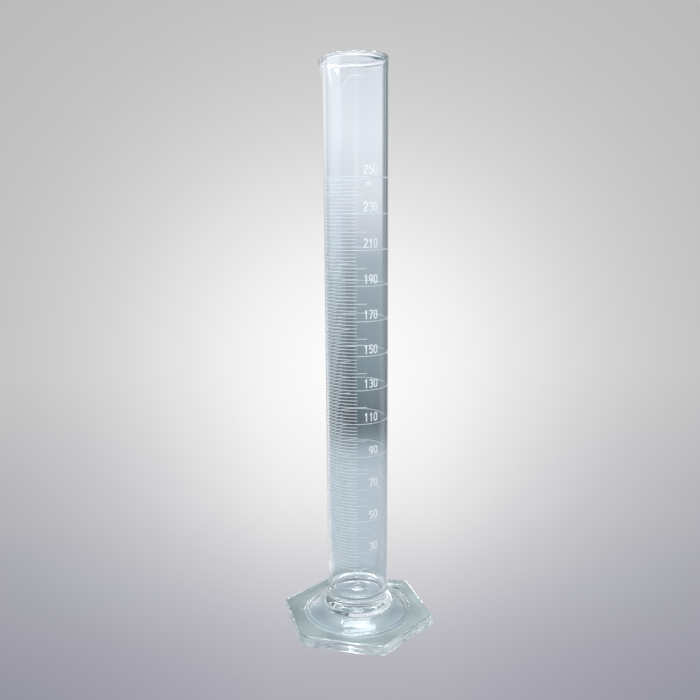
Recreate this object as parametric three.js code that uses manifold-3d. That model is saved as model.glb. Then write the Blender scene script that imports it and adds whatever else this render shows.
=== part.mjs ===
// A 250 ml graduated glass cylinder with a pressed hexagonal foot.
//
// Millimetres, +Z up. The origin is on the tube's axis, on the plane that the foot
// stands on. Two of the foot's corners lie on the X axis. Angles are in degrees about
// +Z from +X, and the numerals face -Y. The tube is closed at its lower end and
// fused to the foot end to end. The scale is white enamel, printed and fired on the
// tube: every ring, long line, digit and letter is a thin solid of its own.

import * as THREE from 'three';
import { mergeVertices } from 'three/addons/utils/BufferGeometryUtils.js';
import Module from 'manifold-3d';

// ---- Driving dimensions ----

const TUBE_R = 19; // outside radius of the tube
const TUBE_WALL = 1.4;
const RIM_Z = 345.5; // highest point of the rim
const RIM_BEAD_H = 3; // height of the fire-polished bead
const RIM_BEAD_OUT = 0.25; // how far the bead stands out
const RIM_BEAD_IN = 0.35; // how far it stands in

const SPOUT_ANGLE = 154;
const SPOUT_HALF_WIDTH = 46; // angle from its middle to where the rim is round again
const SPOUT_REACH = 6.5; // how far the lip is pulled out
const SPOUT_DROOP = 1; // how far the lip sinks
const SPOUT_DEPTH = 42; // length of tube that the spout blends into
const SPOUT_POWER = 2.6; // how late the spout swings out

const SEAM_Z = 16; // where tube and foot are fused
const SEAM_GAP = 0.1;
const FLOOR_FILLET = 8; // radius between the bore and its floor
const FIRST_RING_ML = 30;
const FIRST_RING_Z = 52.2;

const FOOT_CORNER_REACH = 49.1; // axis to the end of a rounded corner
const FOOT_CORNER_R = 6;
const FOOT_T = 6.8; // flange thickness
const FOOT_EDGE_R = 2.2; // rounding of the flange's edges
const CONE_R = 33; // where the flange turns into the cone
const BEAD_R = 21.6; // fused bead around the joint
const BEAD_Z = 12;
const RECESS_R = 32; // hollow under the foot
const RECESS_EDGE_Z = 2.2;
const RECESS_TOP_Z = 7;

const LINE_W = 0.42; // width of a printed line
const ENAMEL_T = 0.12;
const ENAMEL_GAP = 0.03; // clearance between enamel and glass
const LONG_LINE_START = -243.5;
const LONG_LINE_END = -58.9;
const DIGIT_H = 5.4;
const DIGIT_W = 2.7;
const STROKE_W = 0.75;
const LAST_DIGIT_ANGLE = -41.6;
const DIGIT_PITCH = 9.4; // degrees between digits
const DIGIT_LIFT = 1.4; // from a ring's middle to the foot of its numeral
const UNIT_STROKE_W = 0.45;
const UNIT_HIGH = 1.9; // middle line of the m, from its foot to the top of its arches
const UNIT_ARCH_R = 0.45;
const UNIT_TALL = 3; // the l
const UNIT_DROP = 4.9; // from the top ring's middle to the foot of the unit
const UNIT_ANGLES = { m: -56, l: -50 };

const SCALE_TOP_ML = 250;
const RING_STEP_ML = 20; // rings at 30, 50 ... 250
const LONG_LINE_FIRST_ML = 20; // long lines at 20, 40 ... 240

// ---- Facets ----

const TUBE_SEGMENTS = 48;
const LINE_SEGMENTS = 24; // for a full turn of a printed line
const ARC_SEGMENTS = 8; // for a quarter turn of a digit's stroke
const FILLET_SEGMENTS = 4;

// ---- Worked out from them ----

const BORE_R = TUBE_R - TUBE_WALL;
const BORE_AREA = Math.PI * BORE_R ** 2;
const MM_PER_ML = 1000 / BORE_AREA;
const ZERO_Z = FIRST_RING_Z - FIRST_RING_ML * MM_PER_ML;
// The fillet takes up volume, so the floor lies lower than a flat one would by this
// much: the corner's section, swept about the axis, over the bore's area.
const FILLET_SECTION = (1 - Math.PI / 4) * FLOOR_FILLET ** 2;
const FILLET_CENTROID_R = BORE_R - 0.223 * FLOOR_FILLET;
const FLOOR_DROP = (2 * Math.PI * FILLET_CENTROID_R * FILLET_SECTION) / BORE_AREA;
const FLOOR_Z = ZERO_Z - FLOOR_DROP;
const ENAMEL_R = TUBE_R + ENAMEL_GAP;

const heightOf = (ml) => ZERO_Z + ml * MM_PER_ML;
const radians = THREE.MathUtils.degToRad;

// ---- Materials ----

const glass = () => new THREE.MeshStandardMaterial({
  color: 0xdce9ea, roughness: 0.03, metalness: 0, transparent: true, opacity: 0.35,
});
const enamel = () => new THREE.MeshStandardMaterial({
  color: 0xf4f6f5, roughness: 0.45, metalness: 0,
});

// ---- Solids ----

const wasm = await Module();
wasm.setup();

/** A closed geometry as a solid that can be joined and cut. */
function solidOf(geometry) {
  const bare = geometry.clone();
  bare.deleteAttribute('normal');
  bare.deleteAttribute('uv');
  const merged = mergeVertices(bare, 1e-4);
  return new wasm.Manifold(new wasm.Mesh({
    numProp: 3,
    vertProperties: Float32Array.from(merged.attributes.position.array),
    triVerts: Uint32Array.from(merged.index.array),
  }));
}

/** A solid back as a geometry. */
function geometryOf(solid) {
  const mesh = solid.getMesh();
  const geometry = new THREE.BufferGeometry();
  geometry.setAttribute('position', new THREE.BufferAttribute(mesh.vertProperties, 3));
  geometry.setIndex(new THREE.BufferAttribute(mesh.triVerts, 1));
  geometry.computeVertexNormals();
  return geometry;
}

/** A profile of [radius, z] points, from the axis back to the axis, turned about Z. */
function turned(profile) {
  const points = profile.map(([r, z]) => new THREE.Vector2(r, z));
  return new THREE.LatheGeometry(points, TUBE_SEGMENTS).rotateX(Math.PI / 2);
}

/** Points on an arc of a [radius, z] profile, between two angles in degrees. */
function arc(centreR, centreZ, radius, from, to, segments = FILLET_SEGMENTS) {
  return Array.from({ length: segments + 1 }, (_, i) => {
    const a = radians(from + ((to - from) * i) / segments);
    return [centreR + radius * Math.cos(a), centreZ + radius * Math.sin(a)];
  });
}

// ---- The tube ----

/** Pulls the rim out into the pouring spout. */
function pullSpout(geometry) {
  const at = geometry.attributes.position;
  const p = new THREE.Vector3();
  for (let i = 0; i < at.count; i += 1) {
    p.fromBufferAttribute(at, i);
    const radius = Math.hypot(p.x, p.y);
    const up = Math.max(0, (p.z - (RIM_Z - SPOUT_DEPTH)) / SPOUT_DEPTH) ** SPOUT_POWER;
    const turn = THREE.MathUtils.radToDeg(Math.atan2(p.y, p.x)) - SPOUT_ANGLE;
    const off = Math.abs(THREE.MathUtils.euclideanModulo(turn + 180, 360) - 180);
    if (up > 0 && radius > 0 && off < SPOUT_HALF_WIDTH) {
      const share = up * Math.cos((Math.PI / 2) * (off / SPOUT_HALF_WIDTH)) ** 2;
      const wider = (radius + SPOUT_REACH * share) / radius;
      at.setXYZ(i, p.x * wider, p.y * wider, p.z - SPOUT_DROOP * share);
    }
  }
  geometry.computeVertexNormals();
  return geometry;
}

/** Heights from the foot of the spout up to the rim's bead, evenly spaced. */
function spoutHeights(steps) {
  const from = RIM_Z - SPOUT_DEPTH;
  const to = RIM_Z - RIM_BEAD_H;
  return Array.from({ length: steps }, (_, i) => from + ((to - from) * i) / (steps - 1));
}

function glassTube() {
  const bottom = SEAM_Z + SEAM_GAP / 2;
  const heights = spoutHeights(6);
  const beadR = (TUBE_WALL + RIM_BEAD_OUT + RIM_BEAD_IN) / 2;
  const beadMiddle = TUBE_R + RIM_BEAD_OUT - beadR;
  const profile = [
    [0, bottom],
    [TUBE_R, bottom],
    ...heights.map((z) => [TUBE_R, z]),
    ...arc(beadMiddle, RIM_Z - beadR, beadR, 0, 180),
    ...heights.reverse().map((z) => [BORE_R, z]),
    ...arc(BORE_R - FLOOR_FILLET, FLOOR_Z + FLOOR_FILLET, FLOOR_FILLET, 0, -90),
    [0, FLOOR_Z],
  ];
  return pullSpout(turned(profile));
}

// ---- The foot ----

/** The flange's outline: a hexagon with rounded corners, `inset` inside its true edge. */
function hexagon(inset) {
  const corner = FOOT_CORNER_REACH - FOOT_CORNER_R;
  const radius = FOOT_CORNER_R - inset;
  const shape = new THREE.Shape();
  for (let i = 0; i < 6; i += 1) {
    const a = radians(60 * i);
    const x = corner * Math.cos(a);
    const y = corner * Math.sin(a);
    shape.absarc(x, y, radius, a - radians(30), a + radians(30), false);
  }
  shape.closePath();
  return shape;
}

function hexFoot() {
  const flange = new THREE.ExtrudeGeometry(hexagon(FOOT_EDGE_R), {
    depth: FOOT_T - 2 * FOOT_EDGE_R,
    bevelThickness: FOOT_EDGE_R,
    bevelSize: FOOT_EDGE_R,
    bevelSegments: 3,
    curveSegments: 3,
  }).translate(0, 0, FOOT_EDGE_R);
  const boss = turned([
    [0, FOOT_T / 2],
    [CONE_R, FOOT_T / 2],
    [CONE_R, FOOT_T],
    [BEAD_R + 2, FOOT_T + 2.8],
    [BEAD_R, BEAD_Z - 1],
    [BEAD_R, BEAD_Z],
    [BEAD_R - 1, BEAD_Z + 1.6],
    [TUBE_R, SEAM_Z - SEAM_GAP / 2],
    [0, SEAM_Z - SEAM_GAP / 2],
  ]);
  const recess = turned([
    [0, -1],
    [RECESS_R, -1],
    [RECESS_R, RECESS_EDGE_Z - 1],
    [RECESS_R - 1, RECESS_EDGE_Z],
    [BEAD_R, RECESS_TOP_Z - 1],
    [0, RECESS_TOP_Z],
  ]);
  return geometryOf(solidOf(flange).add(solidOf(boss)).subtract(solidOf(recess)));
}

// ---- Printed lines ----

/** A line around the tube between two angles; with no angles, a full ring. */
function printedLine(start = 0, end = 360) {
  const full = end - start >= 360;
  const segments = Math.ceil((LINE_SEGMENTS * (end - start)) / 360);
  const step = radians((end - start) / segments);
  const inner = ENAMEL_R / Math.cos(step / 2);
  const outer = inner + ENAMEL_T;
  const rim = (radius, backwards) => Array.from({ length: segments + (full ? 0 : 1) }, (_, i) => {
    const a = radians(backwards ? end : start) + (backwards ? -i : i) * step;
    return new THREE.Vector2(radius * Math.cos(a), radius * Math.sin(a));
  });
  const shape = new THREE.Shape(full ? rim(outer) : [...rim(outer), ...rim(inner, true)]);
  if (full) {
    shape.holes.push(new THREE.Path(rim(inner, true)));
  }
  return new THREE.ExtrudeGeometry(shape, { depth: LINE_W, bevelEnabled: false })
    .translate(0, 0, -LINE_W / 2);
}

// ---- Digits ----
// A digit is drawn with strokes whose middle lines keep to a box of HIGH by 2 * HALF,
// with x from -HALF to HALF and y from 0 to HIGH.

const HALF = (DIGIT_W - STROKE_W) / 2;
const HIGH = DIGIT_H - STROKE_W;

/** Points on an ellipse's arc, between two angles in degrees. */
function bow(x, y, radiusX, radiusY, from, to) {
  const steps = Math.ceil((ARC_SEGMENTS * Math.abs(to - from)) / 90);
  return Array.from({ length: steps + 1 }, (_, i) => {
    const a = radians(from + ((to - from) * i) / steps);
    return new THREE.Vector2(x + radiusX * Math.cos(a), y + radiusY * Math.sin(a));
  });
}

const point = (x, y) => new THREE.Vector2(x, y);

/** The line beside a stroke's middle line, at a distance to its left, with mitred bends. */
function beside(points, distance, closed) {
  const n = points.length;
  return points.map((p, i) => {
    const before = points[closed ? (i + n - 1) % n : Math.max(i - 1, 0)];
    const after = points[closed ? (i + 1) % n : Math.min(i + 1, n - 1)];
    const into = p.clone().sub(before);
    const out = after.clone().sub(p);
    const a = (into.length() > 0 ? into : out).clone().normalize();
    const b = (out.length() > 0 ? out : into).clone().normalize();
    const mitre = point(-a.y - b.y, a.x + b.x).normalize();
    return p.clone().addScaledVector(mitre, distance / mitre.dot(point(-a.y, a.x)));
  });
}

/** One stroke as a plate of enamel. A closed one is a ring drawn counter-clockwise. */
function stroke(points, closed = false, width = STROKE_W) {
  const right = beside(points, -width / 2, closed);
  const left = beside(points, width / 2, closed).reverse();
  const shape = new THREE.Shape(closed ? right : [...right, ...left]);
  if (closed) {
    shape.holes.push(new THREE.Path(left));
  }
  return new THREE.ExtrudeGeometry(shape, { depth: ENAMEL_T, bevelEnabled: false });
}

/** The middle line of a full loop, from its right-hand end. */
const loop = (y, radiusY) => bow(0, y, HALF, radiusY, 0, 360).slice(0, -1);

const BOWL = HIGH / 4;
const LOOP_9 = HIGH * 0.3;
const BOWL_5 = HIGH * 0.31;

const STROKES = {
  0: () => [stroke([
    ...bow(0, HIGH - HALF, HALF, HALF, 0, 180),
    ...bow(0, HALF, HALF, HALF, 180, 360),
  ], true)],
  1: () => [
    stroke([point(HALF * 0.2, -STROKE_W / 2), point(HALF * 0.2, HIGH + STROKE_W / 2)]),
    stroke([point(-HALF * 0.8, HIGH * 0.8), point(HALF * 0.2, HIGH * 0.95)]),
  ],
  2: () => [stroke([
    ...bow(0, HIGH - HALF, HALF, HALF, 170, -30),
    point(-HALF, 0),
    point(HALF + STROKE_W / 2, 0),
  ])],
  3: () => [
    stroke(bow(0, HIGH - BOWL, HALF, BOWL, 155, -105)),
    stroke(bow(0, BOWL, HALF, BOWL, 105, -155)),
  ],
  5: () => [
    stroke([point(HALF, HIGH), point(-HALF * 0.8, HIGH), point(-HALF, HIGH * 0.5)]),
    stroke(bow(0, BOWL_5, HALF, BOWL_5, 145, -155)),
  ],
  7: () => [stroke([
    point(-HALF - STROKE_W / 2, HIGH),
    point(HALF, HIGH),
    point(-HALF * 0.4, -STROKE_W / 2),
  ])],
  9: () => [
    stroke(loop(HIGH - LOOP_9, LOOP_9), true),
    stroke(bow(-HALF * 0.6, HIGH - LOOP_9, HALF * 1.6, HIGH * 0.76, 0, -72)),
  ],
};

/** Strokes that overlap, as one plate. */
function joined(strokes) {
  const [first, ...rest] = strokes.map(solidOf);
  return geometryOf(rest.reduce((sum, next) => sum.add(next), first));
}

/** A digit, standing on y = 0. */
const digitGeometry = (digit) => joined(STROKES[digit]()).translate(0, STROKE_W / 2, 0);

const unitStroke = (points) => stroke(points, false, UNIT_STROKE_W);

/** One arch of the m with the leg that it comes down to, from its left end at x. */
const unitArch = (x) => unitStroke([
  ...bow(x + UNIT_ARCH_R, UNIT_HIGH - UNIT_ARCH_R, UNIT_ARCH_R, UNIT_ARCH_R, 180, 0),
  point(x + 2 * UNIT_ARCH_R, 0),
]);

const UNIT_LETTERS = {
  m: () => joined([
    unitStroke([point(-2 * UNIT_ARCH_R, 0), point(-2 * UNIT_ARCH_R, UNIT_HIGH)]),
    unitArch(-2 * UNIT_ARCH_R),
    unitArch(0),
  ]),
  l: () => unitStroke([point(0, 0), point(0, UNIT_TALL)]),
};

// ---- Assembly ----

const cylinder = new THREE.Group();

function addPiece(name, geometry, material, parent = cylinder) {
  const mesh = new THREE.Mesh(geometry, material);
  mesh.name = name;
  parent.add(mesh);
  return mesh;
}

/** A letter or digit on a group that faces outwards at its angle, standing at height z. */
function addPrint(name, geometry, degrees, z) {
  const angle = radians(degrees);
  const outwards = new THREE.Vector3(Math.cos(angle), Math.sin(angle), 0);
  const rightwards = new THREE.Vector3(-Math.sin(angle), Math.cos(angle), 0);
  const place = new THREE.Group();
  place.quaternion.setFromRotationMatrix(
    new THREE.Matrix4().makeBasis(rightwards, new THREE.Vector3(0, 0, 1), outwards),
  );
  place.position.copy(outwards).multiplyScalar(ENAMEL_R);
  place.position.z = z;
  cylinder.add(place);
  addPiece(name, geometry, enamel(), place);
}

function addNumeral(ml) {
  const digits = [...String(ml)];
  digits.forEach((digit, i) => {
    const angle = LAST_DIGIT_ANGLE - DIGIT_PITCH * (digits.length - 1 - i);
    const name = `numeral_${ml}_digit_${i + 1}`;
    addPrint(name, digitGeometry(digit), angle, heightOf(ml) + DIGIT_LIFT);
  });
}

addPiece('glass_tube', glassTube(), glass());
addPiece('hex_foot', hexFoot(), glass());

for (let ml = FIRST_RING_ML; ml <= SCALE_TOP_ML; ml += RING_STEP_ML) {
  addPiece(`ring_line_${ml}`, printedLine(), enamel()).position.z = heightOf(ml);
  addNumeral(ml);
}

for (let ml = LONG_LINE_FIRST_ML; ml < SCALE_TOP_ML; ml += RING_STEP_ML) {
  const line = printedLine(LONG_LINE_START, LONG_LINE_END);
  addPiece(`long_line_${ml}`, line, enamel()).position.z = heightOf(ml);
}

for (const [letter, angle] of Object.entries(UNIT_ANGLES)) {
  const z = heightOf(SCALE_TOP_ML) - UNIT_DROP;
  addPrint(`unit_letter_${letter}`, UNIT_LETTERS[letter](), angle, z);
}

export default cylinder;
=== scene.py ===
"""The looks of a 250 ml graduated glass cylinder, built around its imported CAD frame.

The glass and the print are given in millimetres, and turned into metres where a mesh is
made. The camera, the lights and the room around the object are given in metres.
The tube and the foot are fused on the real cylinder, so their fine meshes meet in one open
edge at the seam and have no wall between them there.
"""

import math

import bpy
from mathutils import Euler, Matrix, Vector


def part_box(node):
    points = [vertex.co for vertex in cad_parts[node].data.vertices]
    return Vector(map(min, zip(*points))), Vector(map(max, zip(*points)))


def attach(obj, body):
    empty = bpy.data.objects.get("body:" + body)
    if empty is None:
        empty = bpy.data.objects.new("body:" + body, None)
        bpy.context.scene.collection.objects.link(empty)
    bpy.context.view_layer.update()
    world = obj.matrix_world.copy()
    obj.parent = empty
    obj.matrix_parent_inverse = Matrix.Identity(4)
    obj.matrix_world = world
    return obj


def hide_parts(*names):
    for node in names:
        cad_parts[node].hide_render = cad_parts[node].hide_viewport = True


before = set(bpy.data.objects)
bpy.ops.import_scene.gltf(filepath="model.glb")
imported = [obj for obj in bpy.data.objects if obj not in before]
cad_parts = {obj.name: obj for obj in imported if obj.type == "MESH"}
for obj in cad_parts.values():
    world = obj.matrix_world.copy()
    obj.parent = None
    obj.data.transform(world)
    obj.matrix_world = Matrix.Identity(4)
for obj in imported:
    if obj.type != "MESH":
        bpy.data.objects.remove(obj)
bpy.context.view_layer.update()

MM = 0.001


# ---- Sizes, from the frame and from a few of the glass's own dimensions ----

TUBE_LOW, TUBE_HIGH = (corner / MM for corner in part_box("glass_tube"))
FOOT_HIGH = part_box("hex_foot")[1] / MM

RIM_BEAD_H = 1.3
RIM_BEAD_OUT = 0.25
RIM_BEAD_IN = 0.5
RIM_BEAD_EASE = 0.5  # below the bead, where it runs out into the straight wall
WALL = 1.4
TUBE_R = -TUBE_LOW.y - RIM_BEAD_OUT
BORE_R = TUBE_R - WALL
RIM_Z = TUBE_HIGH.z
SEAM_Z = (TUBE_LOW.z + FOOT_HIGH.z) / 2

SPOUT_ANGLE = 154.0
SPOUT_HALF_WIDTH = 46.0
SPOUT_REACH = 6.5
SPOUT_DROOP = 1.0
SPOUT_DEPTH = 42.0
SPOUT_POWER = 2.6

ACROSS_FLATS_SHARE = math.cos(math.pi / 6)
CORNER_CENTRE_R = (FOOT_HIGH.x - FOOT_HIGH.y) / (1 - ACROSS_FLATS_SHARE)
CORNER_R = FOOT_HIGH.x - CORNER_CENTRE_R

SEGMENTS_CORNER = 12  # around the foot, for each of its corners
SEGMENTS_SIDE = 28  # and for each side between two corners


def ring_height(ml):
    """Height of the middle of a printed ring, in millimetres."""
    low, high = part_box(f"ring_line_{ml}")
    return (low.z + high.z) / 2 / MM


FIRST_RING, LAST_RING, RING_STEP = 30, 250, 20  # millilitres
FIRST_LINE, LINE_STEP = 20, 2
MM_PER_ML = (ring_height(LAST_RING) - ring_height(FIRST_RING)) / (LAST_RING - FIRST_RING)


def mark_height(ml):
    """Height of a mark on the scale, in millimetres."""
    return ring_height(FIRST_RING) + (ml - FIRST_RING) * MM_PER_ML


FLOOR_FILLET = 4.0
FLOOR_FILLET_END = -84  # degrees round the fillet, where the floor begins
FLOOR_CROWN = 1.0  # how far the middle of the bore's floor stands up
FLOOR_CROWN_R = 6.5
FLOOR_STEPS = 24
FLOOR_STEP_DROP = 0.015
FLOOR_TIP_RISE = 0.05

BORE_AREA = math.pi * BORE_R**2
FILLET_SECTION = (1 - math.pi / 4) * FLOOR_FILLET**2
FILLET_CENTROID = 0.223  # from the corner it fills, as a share of its radius
FILLET_MIDDLE_R = BORE_R - FILLET_CENTROID * FLOOR_FILLET
FLOOR_DROP = 2 * math.pi * FILLET_MIDDLE_R * FILLET_SECTION / BORE_AREA
FLOOR_Z = mark_height(0) - FLOOR_DROP  # the fillet's glass takes up this much of the bore


# ---- Camera ----

VIEW_AZIMUTH = math.radians(13.5)
VIEW_DISTANCE = 0.460
VIEW_HEIGHT = 0.2632
VIEW_PITCH = math.radians(10.74)
VIEW_ROLL = math.radians(-0.352)
VIEW_OFF_AXIS = 0.0041  # the tube stands this far to the right of the line of sight
LENS_MM = 39.57
CLIP_START = 0.01

VIEW_BACK = Vector((math.sin(VIEW_AZIMUTH), -math.cos(VIEW_AZIMUTH), 0))
VIEW_RIGHT = Vector((math.cos(VIEW_AZIMUTH), math.sin(VIEW_AZIMUTH), 0))
UP = Vector((0, 0, 1))


def make_camera():
    """The camera of the main view."""
    data = bpy.data.cameras.new("camera")
    data.lens = LENS_MM
    data.clip_start = CLIP_START
    camera = bpy.data.objects.new("camera", data)
    bpy.context.scene.collection.objects.link(camera)
    camera.location = VIEW_BACK * VIEW_DISTANCE - VIEW_RIGHT * VIEW_OFF_AXIS + UP * VIEW_HEIGHT
    turn = Euler((math.pi / 2 - VIEW_PITCH, 0, VIEW_AZIMUTH)).to_matrix()
    roll = Euler((0, 0, VIEW_ROLL)).to_matrix()
    camera.rotation_euler = (turn @ roll).to_euler()
    bpy.context.scene.camera = camera


make_camera()


# ---- Node helpers ----


def new_material(name):
    """A material with an empty node tree and its output node."""
    material = bpy.data.materials.new(name)
    material.use_nodes = True
    tree = material.node_tree
    tree.nodes.clear()
    return material, tree, tree.nodes.new("ShaderNodeOutputMaterial")


def node(tree, kind, inputs=None, **settings):
    """A node with its settings, and its inputs set to values or linked from sockets."""
    made = tree.nodes.new(kind)
    for key, value in settings.items():
        setattr(made, key, value)
    for key, value in (inputs or {}).items():
        if isinstance(key, str):
            socket = next(s for s in made.inputs if s.name == key and s.enabled)
        else:
            socket = made.inputs[key]
        if isinstance(value, bpy.types.NodeSocket):
            tree.links.new(value, socket)
        else:
            socket.default_value = value
    return made


def maths(tree, operation, *values):
    """The result of one Math node, from numbers or sockets."""
    return node(tree, "ShaderNodeMath", dict(enumerate(values)), operation=operation).outputs[0]


def vector_maths(tree, operation, *values):
    """The number or the vector that one Vector Math node makes."""
    values = [tuple(v) if isinstance(v, Vector) else v for v in values]
    made = node(tree, "ShaderNodeVectorMath", dict(enumerate(values)), operation=operation)
    return made.outputs["Value" if operation in ("DOT_PRODUCT", "LENGTH") else "Vector"]


def remap(tree, value, start, end, low=0.0, high=1.0):
    """A value between start and end, taken to between low and high and held there."""
    limits = {"From Min": start, "From Max": end, "To Min": low, "To Max": high}
    return node(tree, "ShaderNodeMapRange", {"Value": value, **limits}).outputs["Result"]


def mixed(tree, share, low, high, way="MIX"):
    """A share of one colour mixed into another; each is four numbers or a socket."""
    made = node(
        tree,
        "ShaderNodeMix",
        {"Factor": share, "A": low, "B": high},
        data_type="RGBA",
        blend_type=way,
    )
    return next(s for s in made.outputs if s.enabled)


def ramp(tree, share, stops, way="EASE"):
    """A colour ramp with stops of (position, colour)."""
    made = node(tree, "ShaderNodeValToRGB", {"Fac": share})
    band = made.color_ramp
    band.interpolation = way
    while len(band.elements) < len(stops):
        band.elements.new(1.0)
    for element, (position, colour) in zip(band.elements, stops):
        element.position = position
        element.color = (*colour, 1)
    return made.outputs["Color"]


def noise(tree, scale, stretch=(1, 1, 1), detail=2.0):
    """Noise over the object's own coordinates, in metres, stretched along an axis."""
    place = node(tree, "ShaderNodeTexCoord").outputs["Object"]
    mapped = node(tree, "ShaderNodeMapping", {"Vector": place, "Scale": stretch})
    found = node(
        tree,
        "ShaderNodeTexNoise",
        {"Vector": mapped.outputs["Vector"], "Scale": scale, "Detail": detail},
    )
    return found.outputs["Fac"]


# ---- Materials ----

TINT_SCALE = 40.0
SHADOW_TINT = (0.93, 0.96, 0.96, 1)
ENAMEL_PATCH_SCALE = 900.0
ENAMEL_GRAIN_SCALE = 3500.0
ENAMEL_GRAIN = 0.01
ENAMEL_GLOSS = (0.35, 0.55)  # roughness, from its smoothest patches to its dullest


def glass_material(name, low, high, wave_scale, wave_stretch, wave_height):
    """Clear glass with a faint tint and the slow waves of drawn or pressed glass.

    Lamps shine through it, so that the print behind it is lit."""
    material, tree, output = new_material(name)
    tint = mixed(tree, noise(tree, TINT_SCALE), (*low, 1), (*high, 1))
    waves = noise(tree, wave_scale, wave_stretch)
    bump = node(
        tree,
        "ShaderNodeBump",
        {"Height": waves, "Distance": wave_height * MM, "Strength": 1.0},
    )
    glass = node(
        tree,
        "ShaderNodeBsdfPrincipled",
        {
            "Base Color": tint,
            "Roughness": 0.0,
            "IOR": 1.5,
            "Transmission Weight": 1.0,
            "Normal": bump.outputs["Normal"],
        },
    )
    clear = node(tree, "ShaderNodeBsdfTransparent", {"Color": SHADOW_TINT})
    to_lamp = node(tree, "ShaderNodeLightPath").outputs["Is Shadow Ray"]
    both = node(
        tree,
        "ShaderNodeMixShader",
        {0: to_lamp, 1: glass.outputs["BSDF"], 2: clear.outputs["BSDF"]},
    )
    tree.links.new(both.outputs["Shader"], output.inputs["Surface"])
    return material


def enamel_material(name, low, high):
    """Thin white enamel, a little uneven where it was printed and fired."""
    material, tree, output = new_material(name)
    patches = noise(tree, ENAMEL_PATCH_SCALE, detail=3.0)
    grain = noise(tree, ENAMEL_GRAIN_SCALE)
    bump = node(
        tree,
        "ShaderNodeBump",
        {"Height": grain, "Distance": ENAMEL_GRAIN * MM, "Strength": 0.4},
    )
    enamel = node(
        tree,
        "ShaderNodeBsdfPrincipled",
        {
            "Base Color": mixed(tree, patches, (*low, 1), (*high, 1)),
            "Roughness": remap(tree, patches, 0.0, 1.0, *ENAMEL_GLOSS),
            "Normal": bump.outputs["Normal"],
        },
    )
    tree.links.new(enamel.outputs["BSDF"], output.inputs["Surface"])
    return material


TUBE_GLASS = glass_material(
    "tube_glass", (0.955, 0.975, 0.98), (0.965, 0.98, 0.985), 60.0, (1, 1, 0.06), 0.02
)
FOOT_GLASS = glass_material(
    "foot_glass", (0.92, 0.965, 0.955), (0.935, 0.97, 0.965), 45.0, (1, 1, 1), 0.025
)
ENAMEL = enamel_material("white_enamel", (0.70, 0.76, 0.78), (0.82, 0.87, 0.88))
LINE_ENAMEL = enamel_material("thin_enamel", (0.57, 0.635, 0.685), (0.68, 0.74, 0.785))


# ---- Mesh helpers ----


def mesh_piece(name, points, faces, material, smooth=True):
    """A mesh object from points in millimetres."""
    mesh = bpy.data.meshes.new(name)
    mesh.from_pydata([tuple(c * MM for c in p) for p in points], [], faces)
    mesh.validate()
    if smooth:
        mesh.shade_smooth()
    else:
        mesh.shade_flat()
    mesh.materials.append(material)
    piece = bpy.data.objects.new(name, mesh)
    bpy.context.scene.collection.objects.link(piece)
    return piece


def arc(centre_r, centre_z, radius, start, end, steps):
    """Points (r, z) on an arc of a profile, between two angles in degrees."""
    found = []
    for i in range(steps + 1):
        a = math.radians(start + (end - start) * i / steps)
        found.append((centre_r + radius * math.cos(a), centre_z + radius * math.sin(a)))
    return found


def line(start, end, steps):
    """Points after start, evenly up to end."""
    return [
        tuple(a + (b - a) * i / steps for a, b in zip(start, end)) for i in range(1, steps + 1)
    ]


def curve_through(knots, steps):
    """Points on a smooth curve through the knots, with so many steps between two."""
    ends = [knots[0], *knots, knots[-1]]
    found = [knots[0]]
    for p0, p1, p2, p3 in zip(ends, ends[1:], ends[2:], ends[3:]):
        for i in range(1, steps + 1):
            t = i / steps
            found.append(
                tuple(
                    0.5
                    * (
                        2 * b
                        + (c - a) * t
                        + (2 * a - 5 * b + 4 * c - d) * t * t
                        + (3 * b - a - 3 * c + d) * t**3
                    )
                    for a, b, c, d in zip(p0, p1, p2, p3)
                )
            )
    return found


def around():
    """Angles once around the glass, closer together at the foot's corners."""
    half_corner = math.atan2(CORNER_R / 2, CORNER_CENTRE_R + CORNER_R * math.cos(math.pi / 6))
    angles = []
    for corner in range(6):
        middle = corner * math.pi / 3
        for i in range(SEGMENTS_CORNER):
            angles.append(middle - half_corner + 2 * half_corner * i / SEGMENTS_CORNER)
        side = math.pi / 3 - 2 * half_corner
        for i in range(SEGMENTS_SIDE):
            angles.append(middle + half_corner + side * i / SEGMENTS_SIDE)
    return angles


ANGLES = around()


def loft(name, rings, tip, material, downwards=False):
    """A mesh over rings of points, open at the first ring and closed to a tip after the last.

    Its faces look outwards if the rings start up the outside, or down it when `downwards`."""
    n = len(ANGLES)
    points = [p for ring in rings for p in ring] + [tip]
    faces = []
    for k in range(len(rings) - 1):
        for i in range(n):
            j = (i + 1) % n
            faces.append((k * n + i, k * n + j, (k + 1) * n + j, (k + 1) * n + i))
    last = (len(rings) - 1) * n
    faces += [(last + i, last + (i + 1) % n, len(points) - 1) for i in range(n)]
    if downwards:
        faces = [tuple(reversed(face)) for face in faces]
    return mesh_piece(name, points, faces, material)


def round_ring(r, z):
    """A circle of points round the axis."""
    return [(r * math.cos(a), r * math.sin(a), z) for a in ANGLES]


# ---- The tube ----


def pulled(point):
    """A point of the straight tube, moved out into the pouring spout."""
    x, y, z = point
    up = max(0.0, (z - (RIM_Z - SPOUT_DEPTH)) / SPOUT_DEPTH) ** SPOUT_POWER
    turn = math.degrees(math.atan2(y, x)) - SPOUT_ANGLE
    off = abs((turn + 180) % 360 - 180)
    radius = math.hypot(x, y)
    if up == 0 or off >= SPOUT_HALF_WIDTH:
        return point
    share = up * math.cos(math.pi / 2 * off / SPOUT_HALF_WIDTH) ** 2
    wider = (radius + SPOUT_REACH * share) / radius
    return (x * wider, y * wider, z - SPOUT_DROOP * share)


BEAD_STEPS = 6
RIM_STEPS = 14
SPOUT_STEPS = 28
STRAIGHT_STEPS = 10
FILLET_STEPS = 18


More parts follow.
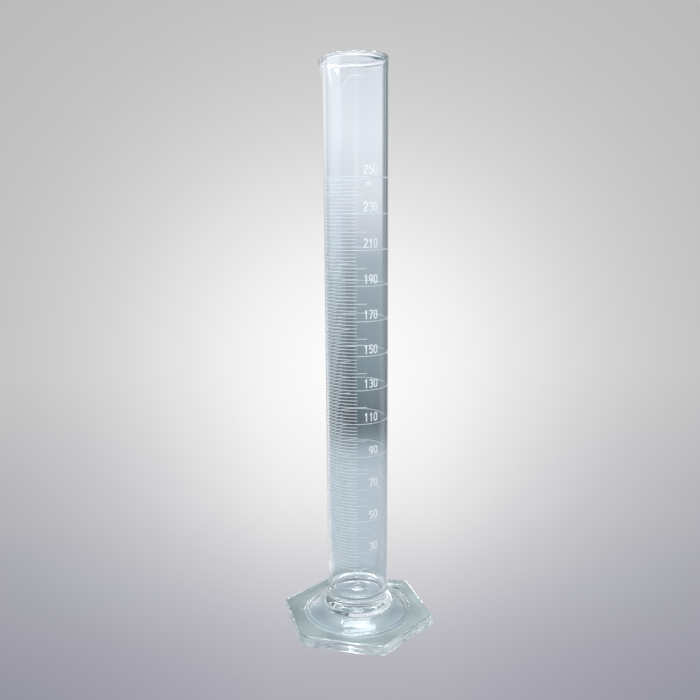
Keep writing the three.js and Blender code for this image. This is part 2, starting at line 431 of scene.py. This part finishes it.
def tube_profile():
    """From the seam up the outside, over the rim and down the bore to its floor."""
    spout_z = RIM_Z - SPOUT_DEPTH
    bead_z = RIM_Z - RIM_BEAD_H
    ease_z = bead_z - RIM_BEAD_EASE
    top_r = (WALL + RIM_BEAD_OUT + RIM_BEAD_IN) / 2
    top_z = RIM_Z - top_r
    top_middle = TUBE_R + RIM_BEAD_OUT - top_r
    outside_bead = curve_through(
        [
            (TUBE_R, ease_z),
            (TUBE_R + RIM_BEAD_OUT * 0.8, bead_z),
            (TUBE_R + RIM_BEAD_OUT, top_z),
        ],
        BEAD_STEPS,
    )
    inside_bead = curve_through(
        [
            (BORE_R - RIM_BEAD_IN, top_z),
            (BORE_R - RIM_BEAD_IN * 0.8, bead_z),
            (BORE_R, ease_z),
        ],
        BEAD_STEPS,
    )
    fillet_z = FLOOR_Z + FLOOR_FILLET
    fillet_r = BORE_R - FLOOR_FILLET
    fillet = arc(fillet_r, fillet_z, FLOOR_FILLET, 0, FLOOR_FILLET_END, FILLET_STEPS)
    floor_r, floor_z = fillet[-1]
    floor = []
    for i in range(1, FLOOR_STEPS):
        r = floor_r * (1 - i / FLOOR_STEPS)
        rise = FLOOR_CROWN * max(0.0, 1 - (r / FLOOR_CROWN_R) ** 2) ** 2
        floor.append((r, floor_z - FLOOR_STEP_DROP * i + rise))
    return [
        (TUBE_R, SEAM_Z),
        *line((TUBE_R, SEAM_Z), (TUBE_R, spout_z), STRAIGHT_STEPS),
        *line((TUBE_R, spout_z), outside_bead[0], SPOUT_STEPS),
        *outside_bead[1:],
        *arc(top_middle, top_z, top_r, 0, 180, RIM_STEPS)[1:],
        *inside_bead[1:],
        *line(inside_bead[-1], (BORE_R, spout_z), SPOUT_STEPS),
        *line((BORE_R, spout_z), (BORE_R, fillet_z), STRAIGHT_STEPS),
        *fillet[1:],
        *floor,
    ]


def make_tube():
    """The glass tube, from the seam to the rim and down to the bore's floor."""
    profile = tube_profile()
    rings = [[pulled(p) for p in round_ring(r, z)] for r, z in profile]
    tip = (0, 0, profile[-1][1] + FLOOR_TIP_RISE)
    tube = loft("drawn_glass_tube", rings, tip, TUBE_GLASS)
    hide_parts("glass_tube")
    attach(tube, "root")


# ---- The foot ----


def hexagon_ring(inset, z):
    """The foot's rounded hexagon, `inset` inside its widest outline."""
    radius = CORNER_R - inset
    flat = CORNER_CENTRE_R * math.cos(math.pi / 6) + radius
    corner_end = math.atan2(radius / 2, CORNER_CENTRE_R + radius * math.cos(math.pi / 6))
    ring = []
    for a in ANGLES:
        off = abs((a + math.pi / 6) % (math.pi / 3) - math.pi / 6)
        if off < corner_end:
            across = CORNER_CENTRE_R * math.sin(off)
            r = CORNER_CENTRE_R * math.cos(off) + math.sqrt(radius**2 - across**2)
        else:
            r = flat / math.cos(math.pi / 6 - off)
        ring.append((r * math.cos(a), r * math.sin(a), z))
    return ring


EDGE_TOP_R = 2.6  # rounding of the flange's upper edge
EDGE_LOW_R = 1.8
EDGE_STEPS = 8
NECK_STEPS = 5
HOLLOW_STEPS = 4
FLANGE_Z = 6.6
HOLLOW_Z = 7.0
NECK = [  # from the seam over the fused bead and down the cone
    (TUBE_R, SEAM_Z),
    (19.4, 15.6),
    (20.4, 14.7),
    (21.3, 13.7),
    (21.7, 12.7),
    (21.8, 11.9),
    (21.9, 11.2),
    (22.4, 10.6),
    (24.2, 9.8),
    (27.0, 8.8),
    (30.0, 7.85),
    (32.0, 7.4),
    (32.8, 7.3),
    (33.5, 6.8),
    (34.0, 6.35),
    (34.8, 6.25),
    (36.0, 6.45),
    (37.0, FLANGE_Z),
]
HOLLOW = [  # the pressed hollow underneath, from its edge to the middle
    (33.0, 0.0),
    (32.5, 0.25),
    (32.1, 1.0),
    (31.3, 1.8),
    (29.0, 2.95),
    (26.0, 4.3),
    (23.0, 5.6),
    (21.0, 6.2),
    (17.0, 6.75),
    (12.0, 6.95),
    (7.0, HOLLOW_Z),
    (2.0, HOLLOW_Z),
]


def make_foot():
    """The pressed foot, from the seam down over its edge and up into the hollow."""
    rings = [round_ring(r, z) for r, z in curve_through(NECK, NECK_STEPS)]
    top = FLANGE_Z - EDGE_TOP_R
    for inset, z in arc(0, top, EDGE_TOP_R, 90, 0, EDGE_STEPS):
        rings.append(hexagon_ring(EDGE_TOP_R - inset, z))
    for inset, z in arc(0, EDGE_LOW_R, EDGE_LOW_R, 0, -90, EDGE_STEPS):
        rings.append(hexagon_ring(EDGE_LOW_R - inset, z))
    rings += [round_ring(r, z) for r, z in curve_through(HOLLOW, HOLLOW_STEPS)]
    foot = loft("pressed_hex_foot", rings, (0, 0, HOLLOW_Z), FOOT_GLASS, downwards=True)
    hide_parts("hex_foot")
    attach(foot, "root")


# ---- The printed scale ----

LINE_W = 0.42
PRINT_UNDER = 0.004  # how far the enamel is fired into the glass
PRINT_OVER = 0.03
PRINT_SOFT = 0.07  # the printed edge thins out over this
SHORT_START, SHORT_END = -225.5, -76.5  # angles in degrees
LONG_START, LONG_END = -243.5, -58.9
DEGREES_PER_SEGMENT = 2.5


def printed_line(name, z, start, end, replaces=None):
    """A thin band of enamel on the tube, closed into a ring if it goes all the way round."""
    full = end - start >= 360
    steps = math.ceil((end - start) / DEGREES_PER_SEGMENT)
    inner, outer = TUBE_R - PRINT_UNDER, TUBE_R + PRINT_OVER
    half = LINE_W / 2
    section = [
        (inner, z - half),
        (TUBE_R + PRINT_OVER / 2, z - half),
        (outer, z - half + PRINT_SOFT),
        (outer, z + half - PRINT_SOFT),
        (TUBE_R + PRINT_OVER / 2, z + half),
        (inner, z + half),
    ]
    count = len(section)
    stations = steps if full else steps + 1
    points = []
    for i in range(stations):
        a = math.radians(start + (end - start) * i / steps)
        points += [(r * math.cos(a), r * math.sin(a), h) for r, h in section]
    faces = []
    for i in range(steps):
        here, there = i * count, ((i + 1) % stations) * count
        for k in range(count):
            m = (k + 1) % count
            faces.append((here + k, there + k, there + m, here + m))
    if not full:
        faces.append(tuple(range(count)))
        faces.append(tuple(reversed(range((stations - 1) * count, stations * count))))
    band = mesh_piece(name, points, faces, LINE_ENAMEL, smooth=False)
    if replaces:
        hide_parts(replaces)
    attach(band, "root")


def make_scale():
    """All the lines as bands, and enamel on the digits and letters of the frame."""
    for ml in range(FIRST_LINE, LAST_RING + 1, LINE_STEP):
        z = mark_height(ml)
        past_ring = (ml - FIRST_RING) % RING_STEP
        if past_ring == 0:
            printed_line(f"printed_ring_{ml}", z, 0, 360, f"ring_line_{ml}")
        elif past_ring == RING_STEP // 2:
            printed_line(f"printed_long_{ml}", z, LONG_START, LONG_END, f"long_line_{ml}")
        else:
            printed_line(f"printed_short_{ml}", z, SHORT_START, SHORT_END)
    for name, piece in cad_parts.items():
        if name.startswith(("numeral_", "unit_letter_")):
            piece.data.materials.clear()
            piece.data.materials.append(ENAMEL)


# ---- Surroundings ----


def stage_mesh(name, points, faces, material):
    """A mesh around the object, from points in metres."""
    piece = mesh_piece(name, [tuple(c / MM for c in p) for p in points], faces, material)
    return piece


def seen_by(piece, camera=False, glossy=False, transmission=False):
    """Shows a piece only to these rays, and lets it throw no shadow."""
    piece.visible_camera = camera
    piece.visible_diffuse = False
    piece.visible_glossy = glossy
    piece.visible_transmission = transmission
    piece.visible_shadow = False
    piece.visible_volume_scatter = False


def grey(value):
    """Linear light from a display value of 0 to 255."""
    c = value / 255
    return c / 12.92 if c <= 0.04045 else ((c + 0.055) / 1.055) ** 2.4


def display(r, g, b):
    """Linear light from a display colour."""
    return (grey(r), grey(g), grey(b))


TWO_WALLS = (0.81, 0.845, 0.855)  # the share of red, green and blue that comes through


def through_glass(r, g, b):
    """Light that looks like this display colour after the tube's two walls."""
    return tuple(light / share for light, share in zip(display(r, g, b), TWO_WALLS))


def from_view(right, away, up):
    """A place in metres from the origin, as the main view has it: right, away and up."""
    return VIEW_RIGHT * right - VIEW_BACK * away + UP * up


def glow_material(name, colour, strength):
    """One even light."""
    material, tree, output = new_material(name)
    light = node(tree, "ShaderNodeEmission", {"Color": (*colour, 1), "Strength": strength})
    tree.links.new(light.outputs["Emission"], output.inputs["Surface"])
    return material


FLOOR_GAP = 0.0003  # the glass bears on its highest spots only
BOWL_MIDDLE_R = 0.02
BOWL_ROUNDS = 96


def bowl(name, radius, height, corner, material):
    """A floor that curves up into a wall all round."""
    profile = [(BOWL_MIDDLE_R, 0.0), (radius * 0.4, 0.0)]
    profile += [(r, z) for r, z in arc(radius - corner, corner, corner, -90, 0, 24)]
    profile.append((radius, height))
    profile = [(r, z - FLOOR_GAP) for r, z in profile]
    points = [(0, 0, -FLOOR_GAP)]
    for r, z in profile:
        for i in range(BOWL_ROUNDS):
            a = 2 * math.pi * i / BOWL_ROUNDS
            points.append((r * math.cos(a), r * math.sin(a), z))
    faces = [(0, 1 + i, 1 + (i + 1) % BOWL_ROUNDS) for i in range(BOWL_ROUNDS)]
    for k in range(len(profile) - 1):
        here, there = 1 + k * BOWL_ROUNDS, 1 + (k + 1) * BOWL_ROUNDS
        for i in range(BOWL_ROUNDS):
            j = (i + 1) % BOWL_ROUNDS
            faces.append((here + i, there + i, there + j, here + j))
    return stage_mesh(name, points, faces, material)


BACKDROP_R = 1.1
BACKDROP_H = 1.6
BACKDROP_CORNER = 0.5
# The glow is round as seen from this fixed place, which is the main camera's place to
# within VIEW_OFF_AXIS. It doesn't move with the camera, so other views see it from elsewhere.
GLOW_FROM = VIEW_BACK * VIEW_DISTANCE + UP * VIEW_HEIGHT
GLOW_TILT = math.radians(11.9)  # downwards, to its middle
GLOW_EDGE = math.radians(90)
GLOW = [  # the angle from its middle, as a share of the edge's, and a display grey
    (0.0, 253),
    (0.08, 244),
    (0.152, 225),
    (0.22, 207),
    (0.30, 193),
    (0.40, 184),
    (0.6, 176),
    (1.0, 170),
]
FRONT_SHADE = (0.74, 0.735, 0.83)
SIDE_SHADE = (0.79, 0.79, 0.86)
# Where these two fade in, by how far the direction from that place leans each way.
AHEAD_FADE = (0.2, 0.7)
ASIDE_FADE = (0.1, 0.4)
SIDE_FADE = (-0.2, -0.4)
FRONT_FADE = (-0.35, -0.58)


def backdrop_material():
    """A pale sweep with a soft glow behind the object, cooler and darker low down."""
    material, tree, output = new_material("backdrop")
    spot = bpy.data.objects.new("glow_from", None)
    bpy.context.scene.collection.objects.link(spot)
    spot.location = GLOW_FROM
    place = node(tree, "ShaderNodeTexCoord", object=spot).outputs["Object"]
    way = vector_maths(tree, "NORMALIZE", place)
    middle = (-VIEW_BACK * math.cos(GLOW_TILT) - UP * math.sin(GLOW_TILT)).normalized()
    angle = maths(tree, "ARCCOSINE", vector_maths(tree, "DOT_PRODUCT", way, middle))
    share = maths(tree, "DIVIDE", angle, GLOW_EDGE)
    colour = ramp(tree, share, [(at, display(v, v, v)) for at, v in GLOW], "B_SPLINE")

    height = node(tree, "ShaderNodeSeparateXYZ", {0: way}).outputs["Z"]
    forward = vector_maths(tree, "DOT_PRODUCT", way, -VIEW_BACK)
    across = maths(tree, "ABSOLUTE", vector_maths(tree, "DOT_PRODUCT", way, VIEW_RIGHT))
    ahead = remap(tree, forward, *AHEAD_FADE)
    front = maths(tree, "MULTIPLY", remap(tree, height, *FRONT_FADE), ahead)
    side = remap(tree, across, *ASIDE_FADE)
    side = maths(tree, "MULTIPLY", side, remap(tree, height, *SIDE_FADE))
    side = maths(tree, "MULTIPLY", side, ahead)
    for amount, shade, easing in ((front, FRONT_SHADE, "EASE"), (side, SIDE_SHADE, "LINEAR")):
        shading = ramp(tree, amount, [(0, (1, 1, 1)), (1, shade)], easing)
        colour = mixed(tree, 1.0, colour, shading, "MULTIPLY")
    light = node(tree, "ShaderNodeEmission", {"Color": colour, "Strength": 1.0})
    tree.links.new(light.outputs["Emission"], output.inputs["Surface"])
    return material


TENT_R = 0.42
TENT_H = 0.75  # and then a bright ceiling
TENT_CORNER = 0.02
TENT_REACH = TENT_R + TENT_H  # along the floor from the axis and then up the wall
# The room's colours: metres of reach, and how the place looks through the tube. They were
# listed after colours measured at many heights of the tube in the photograph.
TENT_MIDDLE = [
    (0.27, (169, 183, 194)),
    (0.34, (152, 167, 178)),
    (0.38, (114, 132, 142)),
    (0.43, (66, 84, 93)),
    (0.50, (110, 129, 139)),
    (0.57, (132, 148, 158)),
    (0.62, (152, 167, 177)),
    (0.65, (184, 191, 204)),
    (0.69, (207, 214, 221)),
    (0.76, (217, 223, 231)),
    (0.85, (200, 207, 216)),
    (0.92, (206, 213, 221)),
    (0.96, (250, 252, 253)),
]
TENT_STRIPE = [
    (0.27, (169, 183, 194)),
    (0.34, (148, 163, 174)),
    (0.38, (104, 119, 130)),
    (0.43, (30, 42, 50)),
    (0.52, (72, 86, 97)),
    (0.60, (122, 136, 147)),
    (0.65, (168, 177, 190)),
    (0.69, (198, 205, 216)),
    (0.76, (216, 223, 230)),
    (0.85, (203, 210, 218)),
    (0.92, (206, 213, 221)),
    (0.96, (250, 252, 253)),
]
TENT_VEIL = [
    (0.27, (165, 179, 190)),
    (0.34, (152, 165, 176)),
    (0.38, (116, 129, 140)),
    (0.44, (44, 58, 68)),
    (0.52, (100, 114, 125)),
    (0.60, (142, 156, 167)),
    (0.65, (168, 179, 193)),
    (0.69, (194, 200, 214)),
    (0.76, (217, 223, 231)),
    (0.85, (213, 220, 228)),
    (0.92, (206, 213, 221)),
    (0.96, (250, 252, 253)),
]
TENT_BRIGHT = [
    (0.30, (226, 230, 235)),
    (0.45, (236, 239, 241)),
    (0.52, (205, 214, 220)),
    (0.60, (186, 198, 209)),
    (0.68, (198, 208, 218)),
    (0.76, (226, 233, 240)),
    (0.85, (230, 237, 242)),
]
TENT_DARK = [
    (0.20, (158, 170, 178)),
    (0.33, (144, 157, 165)),
    (0.44, (80, 94, 103)),
    (0.60, (110, 124, 133)),
    (0.70, (84, 102, 110)),
    (0.85, (92, 114, 122)),
    (1.00, (110, 130, 138)),
]
# Where each of these shows, in degrees from the middle of a quarter of the room.
STRIPE_SHARE = [(-3.0, 0), (-2.2, 1), (-0.6, 1), (0.4, 0)]
VEIL_SHARE = [(-16, 1), (-3.2, 1), (-2.2, 0)]
PALE_SHARE = [(-12, 0.18), (-7, 0.14), (-4.5, 0)]
BRIGHT_SHARE = [(-25, 1), (-18, 0)]
DARK_SHARE = [(11.5, 0), (15.5, 1), (17, 1), (20, 0.7), (25, 0.7), (29, 1)]
RIM_SHADE_SHARE = [(-1.0, 0), (5.0, 1), (9.0, 1), (11.0, 0)]

PALE = (0.72, 0.77, 0.80, 1)
SIDES_LIFT = 0.6  # the room is lighter at the sides and behind the camera
SIDES_START, SIDES_END = math.radians(58), math.radians(75)
SIDES_COLOUR = (*through_glass(214, 224, 230), 1)

RIM_SHADE = (*through_glass(70, 104, 118), 1)  # a dark patch that shows under the rim
RIM_SHADE_SLANT = 0.010  # how far its edges rise from its sides to its middle
RIM_SHADE_EDGES = [  # the reach where each edge starts and ends, and the share there
    (0.8462, 0.8475, 0.0, 1.0),
    (0.875, 0.885, 1.0, 0.0),
]


def room_colour(tree, reach, turn):
    """The room by reach along floor and wall, and by turn round the axis.

    Each quarter of the room has a middle, a bright side and a dark side, and every second
    quarter is mirrored."""
    share = maths(tree, "DIVIDE", reach, TENT_REACH)
    quarters = maths(tree, "DIVIDE", turn, math.pi / 2)
    shifted = maths(tree, "ADD", quarters, 0.5)
    side = maths(tree, "PINGPONG", shifted, 1.0)

    def profile(stops):
        """The room's colours by reach."""
        places = [(at / TENT_REACH, through_glass(*colour)) for at, colour in stops]
        return ramp(tree, share, places, "LINEAR")

    def mask(stops):
        """A share over the quarter, with stops in degrees from its middle."""
        return ramp(tree, side, [(0.5 + at / 90, (v, v, v)) for at, v in stops], "LINEAR")

    colour = mixed(tree, mask(STRIPE_SHARE), profile(TENT_MIDDLE), profile(TENT_STRIPE))
    colour = mixed(tree, mask(VEIL_SHARE), colour, profile(TENT_VEIL))
    colour = mixed(tree, mask(PALE_SHARE), colour, PALE)
    colour = mixed(tree, mask(BRIGHT_SHARE), colour, profile(TENT_BRIGHT))
    colour = mixed(tree, mask(DARK_SHARE), colour, profile(TENT_DARK))
    aside = remap(tree, maths(tree, "ABSOLUTE", turn), SIDES_START, SIDES_END)
    colour = mixed(tree, aside, colour, mixed(tree, SIDES_LIFT, colour, SIDES_COLOUR))

    shaded = mask(RIM_SHADE_SHARE)
    slanted = maths(tree, "MULTIPLY_ADD", shaded, RIM_SHADE_SLANT, reach)
    for start, end, low, high in RIM_SHADE_EDGES:
        edge = remap(tree, slanted, start, end, low, high)
        shaded = maths(tree, "MULTIPLY", shaded, edge)
    return mixed(tree, shaded, colour, RIM_SHADE)


TABLE_NEAR = 0.075
TABLE_RINGS = [  # the table under the foot, by distance from the axis
    (0.000, (214, 226, 232)),
    (0.012, (196, 210, 216)),
    (0.022, (170, 185, 196)),
    (0.032, (184, 199, 210)),
    (0.034, (172, 187, 190)),
    (0.050, (174, 189, 192)),
    (0.075, (190, 203, 212)),
]
TABLE_END = [(0.75, (1, 1, 1)), (1.0, (0, 0, 0))]  # where the room takes over
PATCH_SCALE = 32.0
PATCHES = [(0.3, (0.72, 0.74, 0.76)), (0.7, (1.22, 1.2, 1.18))]
CORNER_WAY = -VIEW_RIGHT * 0.8 - VIEW_BACK * 0.6  # to the left and away
CORNER_FADE = (-0.01, 0.035)
CORNER_SHADE = (0.76, 0.78, 0.80, 1)
RING_SHADOW = [  # the shadow of the foot's step: how far its two edges are thrown, their fade
    (0.0064, 0.0318, 0.0328),
    (0.0032, 0.0346, 0.0336),
]
RING_LINE = [(0.0, (0.42, 0.45, 0.47)), (1.0, (1.6, 1.6, 1.6))]  # dark, and bright where lit
LIT_WAY = VIEW_BACK * 0.6 - VIEW_RIGHT * 0.8  # to the left and nearer
LIT_FADE = (0.014, 0.02)


def table_colour(tree, place, flat, near):
    """The table under the foot, with the line that the foot's step throws on it."""
    rings = ramp(tree, near, [(r / TABLE_NEAR, display(*c)) for r, c in TABLE_RINGS], "LINEAR")
    patches = node(
        tree, "ShaderNodeTexNoise", {"Vector": place, "Scale": PATCH_SCALE, "Detail": 1.0}
    )
    patchy = ramp(tree, patches.outputs["Fac"], PATCHES, "LINEAR")
    table = mixed(tree, 1.0, rings, patchy, "MULTIPLY")
    to_corner = vector_maths(tree, "DOT_PRODUCT", flat, CORNER_WAY)
    elsewhere = remap(tree, to_corner, *CORNER_FADE, 1.0, 0.0)
    darker = mixed(tree, 1.0, table, CORNER_SHADE, "MULTIPLY")
    table = mixed(tree, elsewhere, darker, table)
    ring = 1.0
    for throw, start, end in RING_SHADOW:
        thrown = vector_maths(tree, "ADD", flat, VIEW_BACK * throw)
        edge = remap(tree, vector_maths(tree, "LENGTH", thrown), start, end)
        ring = maths(tree, "MULTIPLY", ring, edge)
    to_light = vector_maths(tree, "DOT_PRODUCT", flat, LIT_WAY)
    line_colour = ramp(tree, remap(tree, to_light, *LIT_FADE), RING_LINE, "LINEAR")
    return mixed(tree, ring, table, line_colour, "MULTIPLY")


def tent_material():
    """What the glass shows: a pale table, a dark room behind it, and light above."""
    material, tree, output = new_material("tent")
    place = node(tree, "ShaderNodeNewGeometry").outputs["Position"]
    xyz = node(tree, "ShaderNodeSeparateXYZ", {0: place}).outputs
    flat = node(tree, "ShaderNodeCombineXYZ", {"X": xyz["X"], "Y": xyz["Y"]}).outputs[0]
    out = vector_maths(tree, "LENGTH", flat)
    reach = maths(tree, "ADD", out, xyz["Z"])
    right = vector_maths(tree, "DOT_PRODUCT", flat, VIEW_RIGHT)
    away = vector_maths(tree, "DOT_PRODUCT", flat, -VIEW_BACK)
    turn = maths(tree, "ARCTAN2", right, away)
    near = maths(tree, "DIVIDE", out, TABLE_NEAR)
    on_table = ramp(tree, near, TABLE_END, "LINEAR")
    room = room_colour(tree, reach, turn)
    colour = mixed(tree, on_table, room, table_colour(tree, place, flat, near))
    light = node(tree, "ShaderNodeEmission", {"Color": colour, "Strength": 1.0})
    tree.links.new(light.outputs["Emission"], output.inputs["Surface"])
    return material


def card(name, centre, facing, width, height, material):
    """A flat card whose front faces a point; one that lies flat has its width across the view."""
    normal = (Vector(facing) - Vector(centre)).normalized()
    lies_flat = abs(normal.z) > 0.999
    side = VIEW_RIGHT if lies_flat else UP.cross(normal).normalized()
    over = normal.cross(side)
    corners = [(-1, -1), (1, -1), (1, 1), (-1, 1)]
    points = [
        tuple(Vector(centre) + side * (u * width / 2) + over * (v * height / 2))
        for u, v in corners
    ]
    return stage_mesh(name, points, [(0, 1, 2, 3)], material)


def area_light(name, where, towards, size, energy):
    """A soft lamp that lights the enamel and doesn't show in the glass."""
    data = bpy.data.lights.new(name, "AREA")
    data.shape = "RECTANGLE"
    data.size, data.size_y = size
    data.energy = energy
    lamp = bpy.data.objects.new(name, data)
    bpy.context.scene.collection.objects.link(lamp)
    lamp.location = where
    way = Vector(towards) - Vector(where)
    lamp.rotation_euler = way.to_track_quat("-Z", "Y").to_euler()
    lamp.visible_camera = False
    lamp.visible_glossy = False
    lamp.visible_transmission = False


ORIGIN = (0, 0, 0)
WHITE = (1.0, 1.0, 1.0)
AMBIENT_COLOUR = (0.75, 0.78, 0.8, 1)
AMBIENT_STRENGTH = 0.6
CEILING_W = 1.0
CEILING_COLOUR = (0.93, 0.97, 1.0)
CEILING_STRENGTH = 1.3
WINDOW_Z = 0.70
WINDOW_STRENGTH = 10.0
WINDOW_PANES = [  # a bright pane and two strips: right, away, width and depth
    (0.155, 0.015, 0.23, 0.21),
    (-0.09, 0.09, 0.26, 0.06),
    (-0.09, -0.045, 0.26, 0.09),
]
REFLECTED_STRENGTH = 18.0
REFLECTED_PANES = [  # the same window again, where the cone's upper surface mirrors it
    (0.085, 0.245, 0.16, 0.13),
    (-0.085, 0.198, 0.18, 0.036),
    (-0.085, 0.286, 0.18, 0.048),
]
EDGE_Z = 0.0065
UPPER_Z = 0.36
LOW_Z = 0.02
# Each card: name, place, what it faces, width, height, colour, strength, seen through glass.
CARDS = [
    # makes the white line along the foot's right rear edge
    ("edge_light", from_view(0.053, 0.071, EDGE_Z), from_view(0.04, 0.028, EDGE_Z),
     0.024, 0.009, WHITE, 9.0, False),
    # hides that light from the tube
    ("edge_screen", from_view(0.0425, 0.0497, 0.0175), from_view(0.0176, 0.0, 0.03),
     0.026, 0.012, display(218, 218, 222), 1.0, False),
    ("front_light", from_view(0.0, -0.36, 0.64), ORIGIN,
     0.36, 0.18, (0.97, 1.0, 1.0), 6.0, True),
    ("overhead", from_view(0.1, 0.0, 1.0), ORIGIN,
     0.5, 0.3, (0.95, 0.98, 1.0), 3.0, False),
    ("left_light", from_view(-0.65, -0.1, UPPER_Z), (0, 0, UPPER_Z),
     0.7, 0.4, (0.93, 0.96, 1.0), 1.6, False),
    ("right_light", from_view(0.6, 0.1, 0.78), (0, 0, 0.1),
     0.5, 0.25, (0.95, 0.98, 1.0), 2.5, False),
    ("low_light", from_view(0.55, 0.75, LOW_Z), (0, 0, LOW_Z),
     0.5, 0.1, WHITE, 2.5, False),
    ("slit_light", from_view(0.02, -0.55, UPPER_Z), (0, 0, UPPER_Z),
     0.018, 0.16, WHITE, 2.5, False),
]
TUBE_MIDDLE = (0, 0, 0.17)
LOW_FILL_Z = 0.08
HIGH_FILL_Z = 0.285
FILL_SIZE = (0.03, 0.02)
# Each lamp: name, place, what it faces, width and height, power in watts.
LAMPS = [
    ("key", from_view(-0.5, -0.55, 0.75), TUBE_MIDDLE, (0.6, 0.6), 6.0),
    ("fill", from_view(0.6, -0.35, 0.5), TUBE_MIDDLE, (0.5, 0.7), 3.0),
    ("low_fill", from_view(-0.03, -0.08, LOW_FILL_Z), (0, 0, LOW_FILL_Z), FILL_SIZE, 0.007),
    ("high_fill", from_view(-0.03, -0.08, HIGH_FILL_Z), (0, 0, HIGH_FILL_Z), FILL_SIZE, 0.008),
]


def make_world():
    """An even, weak light from all round, for the enamel."""
    world = bpy.data.worlds.new("soft_room")
    world.use_nodes = True
    background = world.node_tree.nodes["Background"].inputs
    background["Color"].default_value = AMBIENT_COLOUR
    background["Strength"].default_value = AMBIENT_STRENGTH
    bpy.context.scene.world = world


def make_panes(name, panes, material):
    """Panes of one window that look straight down."""
    for right, away, across, deep in panes:
        centre = from_view(right, away, WINDOW_Z)
        pane = card(name, centre, centre - UP, across, deep, material)
        seen_by(pane, glossy=True, transmission=True)


def make_surroundings():
    """The backdrop that the camera sees, the room that the glass sees, and the lights."""
    make_world()
    backdrop = bowl("backdrop", BACKDROP_R, BACKDROP_H, BACKDROP_CORNER, backdrop_material())
    seen_by(backdrop, camera=True, glossy=True)
    tent = bowl("tent", TENT_R, TENT_H, TENT_CORNER, tent_material())
    seen_by(tent, transmission=True)
    ceiling_light = glow_material("ceiling_light", CEILING_COLOUR, CEILING_STRENGTH)
    ceiling = card("ceiling", (0, 0, TENT_H), ORIGIN, CEILING_W, CEILING_W, ceiling_light)
    seen_by(ceiling, transmission=True)
    window = glow_material("window_light", WHITE, WINDOW_STRENGTH)
    make_panes("window_pane", WINDOW_PANES, window)
    reflected = glow_material("reflected_light", WHITE, REFLECTED_STRENGTH)
    make_panes("reflected_pane", REFLECTED_PANES, reflected)
    for name, place, facing, width, height, colour, strength, through in CARDS:
        shown = card(name, place, facing, width, height, glow_material(name, colour, strength))
        seen_by(shown, glossy=True, transmission=through)
    for lamp in LAMPS:
        area_light(*lamp)


MAX_BOUNCES = 48
GLASS_BOUNCES = 40


def set_up_render():
    """A plain view of the colours, and enough bounces for glass behind glass."""
    scene = bpy.context.scene
    scene.view_settings.view_transform = "Standard"
    scene.cycles.max_bounces = MAX_BOUNCES
    scene.cycles.glossy_bounces = GLASS_BOUNCES
    scene.cycles.transmission_bounces = GLASS_BOUNCES


make_tube()
make_foot()
make_scale()
make_surroundings()
set_up_render()
